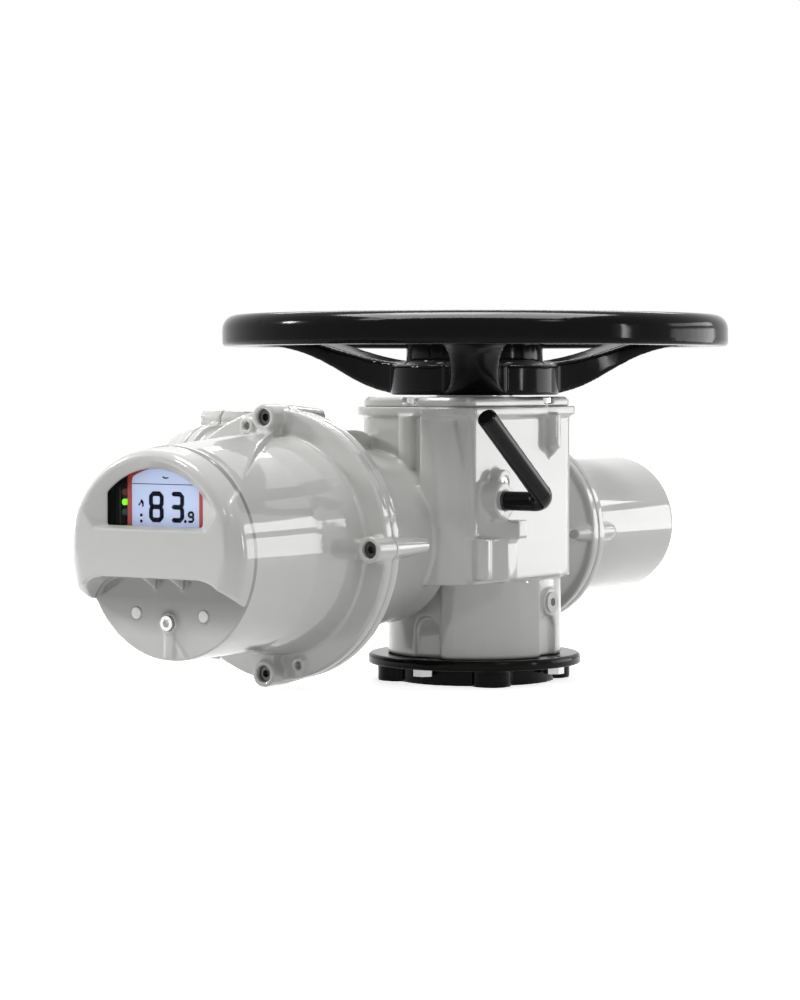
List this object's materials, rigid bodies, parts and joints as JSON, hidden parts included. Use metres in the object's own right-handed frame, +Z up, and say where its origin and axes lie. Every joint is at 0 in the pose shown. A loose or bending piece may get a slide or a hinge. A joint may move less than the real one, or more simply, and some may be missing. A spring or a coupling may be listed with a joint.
{
  "type": "multi-turn electric valve actuator",
  "caption": "Electric valve actuator with a flanged base, a gear housing, a rear motor, a display cover with a half-moon window, a top handwheel and a side lever for hand drive.",
  "frame": {"origin": "centre of the mounting face, where the drive axis meets the valve's top flange", "axes": "+Z up along the drive axis, the display faces -Y, the motor points to +Y, the lever is on +X"},
  "size_m": [0.45, 0.737, 0.325],
  "materials": {
    "grey_paint": "gloss light grey enamel on cast aluminium",
    "black_paint": "gloss black paint",
    "black_grip": "satin black sleeve",
    "zinc_steel": "bright plated steel",
    "bare_steel": "machined steel",
    "bronze": "machined bronze and brass",
    "seal_rubber": "matt black rubber",
    "window": "clear glass",
    "lcd": "pale blue lit panel",
    "red_plastic": "red printed frame",
    "lamp_plastic": "lamp lenses",
    "dark_plastic": "black moulding",
    "white_plastic": "white caps",
    "green_board": "printed circuit board",
    "copper": "wound copper"
  },
  "bodies": {
    "housing": {"thrust_base": "black_paint", "base_screws": "zinc_steel", "gearcase": "grey_paint", "top_cap": "grey_paint", "cap_screws": "zinc_steel", "hub_seal": "seal_rubber", "motor_cover": "grey_paint", "motor_cover_screws": "zinc_steel", "motor_seal": "seal_rubber", "motor_stator": "bare_steel", "stator_windings": "copper", "motor_end_bearing": "bare_steel", "display_cover": "grey_paint", "display_cover_screws": "zinc_steel", "display_seal": "seal_rubber", "window_glass": "window", "lcd_panel": "lcd", "lcd_frame": "red_plastic", "status_lamps": "lamp_plastic", "display_board": "dark_plastic", "face_plug": "zinc_steel", "face_caps": "white_plastic", "main_board": "green_board", "power_blocks": "dark_plastic", "sensor_board": "green_board", "terminal_cover": "grey_paint", "terminal_cover_screws": "zinc_steel", "terminal_seal": "seal_rubber", "terminal_block": "dark_plastic", "terminal_studs": "bronze", "conduit_adaptor_large": "bronze", "conduit_adaptor_front": "bronze", "conduit_adaptor_rear": "bronze", "oil_plug": "zinc_steel", "padlock_plug": "zinc_steel", "earth_stud": "bronze", "lower_bearing": "bare_steel", "upper_bearing": "bare_steel", "worm_bearings": "bare_steel", "lever_seal": "seal_rubber"},
    "drive": {"drive_sleeve": "bare_steel", "drive_bush": "bronze", "bush_clip": "bare_steel"},
    "wheel_gear": {"worm_wheel": "bronze"},
    "clutch": {"clutch_ring": "bare_steel"},
    "yoke": {"shift_yoke": "bronze"},
    "rotor": {"worm_shaft": "bare_steel", "motor_rotor": "bare_steel", "sensor_magnet": "bare_steel"},
    "lever": {"lever_shaft": "bare_steel", "lever_grip": "black_grip", "lever_crank": "bare_steel"},
    "hand_drive": {"handwheel": "black_paint", "hub_sleeve": "bare_steel", "stem_cap": "black_paint", "hub_screws": "zinc_steel"}
  },
  "joints": [
    {"name": "rotor_turn", "type": "hinge", "parent": "housing", "child": "rotor", "pos_m": [-0.04, 0, 0.13], "axis": [0, 1, 0], "continuous": true},
    {"name": "output_turn", "type": "hinge", "parent": "housing", "child": "drive", "pos_m": [0, 0, 0], "axis": [0, 0, 1], "continuous": true},
    {"name": "wheel_turn", "type": "hinge", "parent": "housing", "child": "wheel_gear", "pos_m": [0, 0, 0.13], "axis": [0, 0, 1], "continuous": true},
    {"name": "clutch_shift", "type": "slide", "parent": "drive", "child": "clutch", "axis": [0, 0, 1], "range_m": [0, 0.014]},
    {"name": "yoke_shift", "type": "slide", "parent": "housing", "child": "yoke", "axis": [0, 0, 1], "range_m": [0, 0.014]},
    {"name": "lever_swing", "type": "hinge", "parent": "housing", "child": "lever", "pos_m": [0, -0.08, 0.164], "axis": [1, 0, 0], "range_deg": [0, 45], "stiffness_Nm_per_rad": 1.5, "springref_deg": -28.65},
    {"name": "handwheel_turn", "type": "hinge", "parent": "housing", "child": "hand_drive", "pos_m": [0, 0, 0.254], "axis": [0, 0, 1], "continuous": true}
  ],
  "couplings": [
    {"joint": "output_turn", "follows": "rotor_turn", "ratio": 0.032258},
    {"joint": "wheel_turn", "follows": "rotor_turn", "ratio": 0.032258},
    {"joint": "clutch_shift", "follows": "lever_swing", "m_per_rad": 0.01782},
    {"joint": "yoke_shift", "follows": "lever_swing", "m_per_rad": 0.01782}
  ]
}
